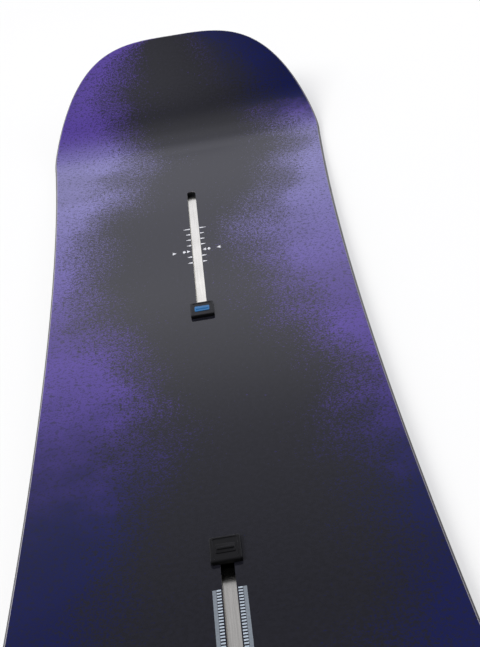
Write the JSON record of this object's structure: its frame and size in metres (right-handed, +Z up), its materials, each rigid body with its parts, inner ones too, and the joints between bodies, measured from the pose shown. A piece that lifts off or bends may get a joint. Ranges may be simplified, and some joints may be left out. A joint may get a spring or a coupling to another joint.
{
  "type": "snowboard",
  "caption": "Cambered twin-tip snowboard with sidecut, a wood-core laminate, wrapped steel edges, and a slotted binding channel closed by a pull-out plug under each foot.",
  "frame": {"origin": "on the floor under the middle of the board", "axes": "+X across the board, +Y along it to the nose, +Z up out of the topsheet"},
  "size_m": [0.2966, 1.545, 0.0807],
  "materials": {
    "topsheet": "printed film under a clear gloss, sprayed fade from violet sides to a charcoal middle",
    "base": "sintered polyethylene, stone ground",
    "edge_steel": "ground hardened steel",
    "damper_rubber": "thin rubber foil",
    "fibreglass": "glass cloth set in resin",
    "sidewall": "machined dark plastic with fine cutter marks",
    "tip_spacer": "moulded plastic",
    "core_dark_wood": "planed beech",
    "core_pale_wood": "planed poplar",
    "channel_rail": "extruded, satin",
    "channel_cap": "moulded nylon",
    "front_plug": "moulded rubber, fine matt texture",
    "rear_plug": "moulded rubber, fine matt texture"
  },
  "bodies": {
    "board": {"base_running": "base", "base_nose": "base", "base_tail": "base", "steel_edge_left": "edge_steel", "steel_edge_right": "edge_steel", "steel_edge_nose": "edge_steel", "steel_edge_tail": "edge_steel", "edge_damper_left": "damper_rubber", "edge_damper_right": "damper_rubber", "lower_glass_infill": "fibreglass", "lower_glass_ply": "fibreglass", "sidewall_left": "sidewall", "sidewall_right": "sidewall", "nose_spacer": "tip_spacer", "tail_spacer": "tip_spacer", "core_strip_left_1": "core_dark_wood", "core_strip_left_2": "core_pale_wood", "core_strip_left_3": "core_dark_wood", "core_strip_left_4": "core_pale_wood", "core_strip_left_5": "core_dark_wood", "core_strip_right_1": "core_dark_wood", "core_strip_right_2": "core_pale_wood", "core_strip_right_3": "core_dark_wood", "core_strip_right_4": "core_pale_wood", "core_strip_right_5": "core_dark_wood", "core_centre_tail": "core_pale_wood", "core_centre_waist": "core_pale_wood", "core_centre_nose": "core_pale_wood", "front_channel_rail": "channel_rail", "front_channel_inner_cap": "channel_cap", "front_channel_outer_cap": "channel_cap", "rear_channel_rail": "channel_rail", "rear_channel_inner_cap": "channel_cap", "rear_channel_outer_cap": "channel_cap", "upper_glass_ply": "fibreglass", "topsheet": "topsheet"},
    "front_plug": {"front_channel_plug": "front_plug"},
    "rear_plug": {"rear_channel_plug": "rear_plug"}
  },
  "joints": [
    {"name": "front_plug_lift", "type": "slide", "parent": "board", "child": "front_plug", "axis": [0, 0, 1], "range_m": [0, 0.02]},
    {"name": "rear_plug_lift", "type": "slide", "parent": "board", "child": "rear_plug", "axis": [0, 0, 1], "range_m": [0, 0.02]}
  ]
}
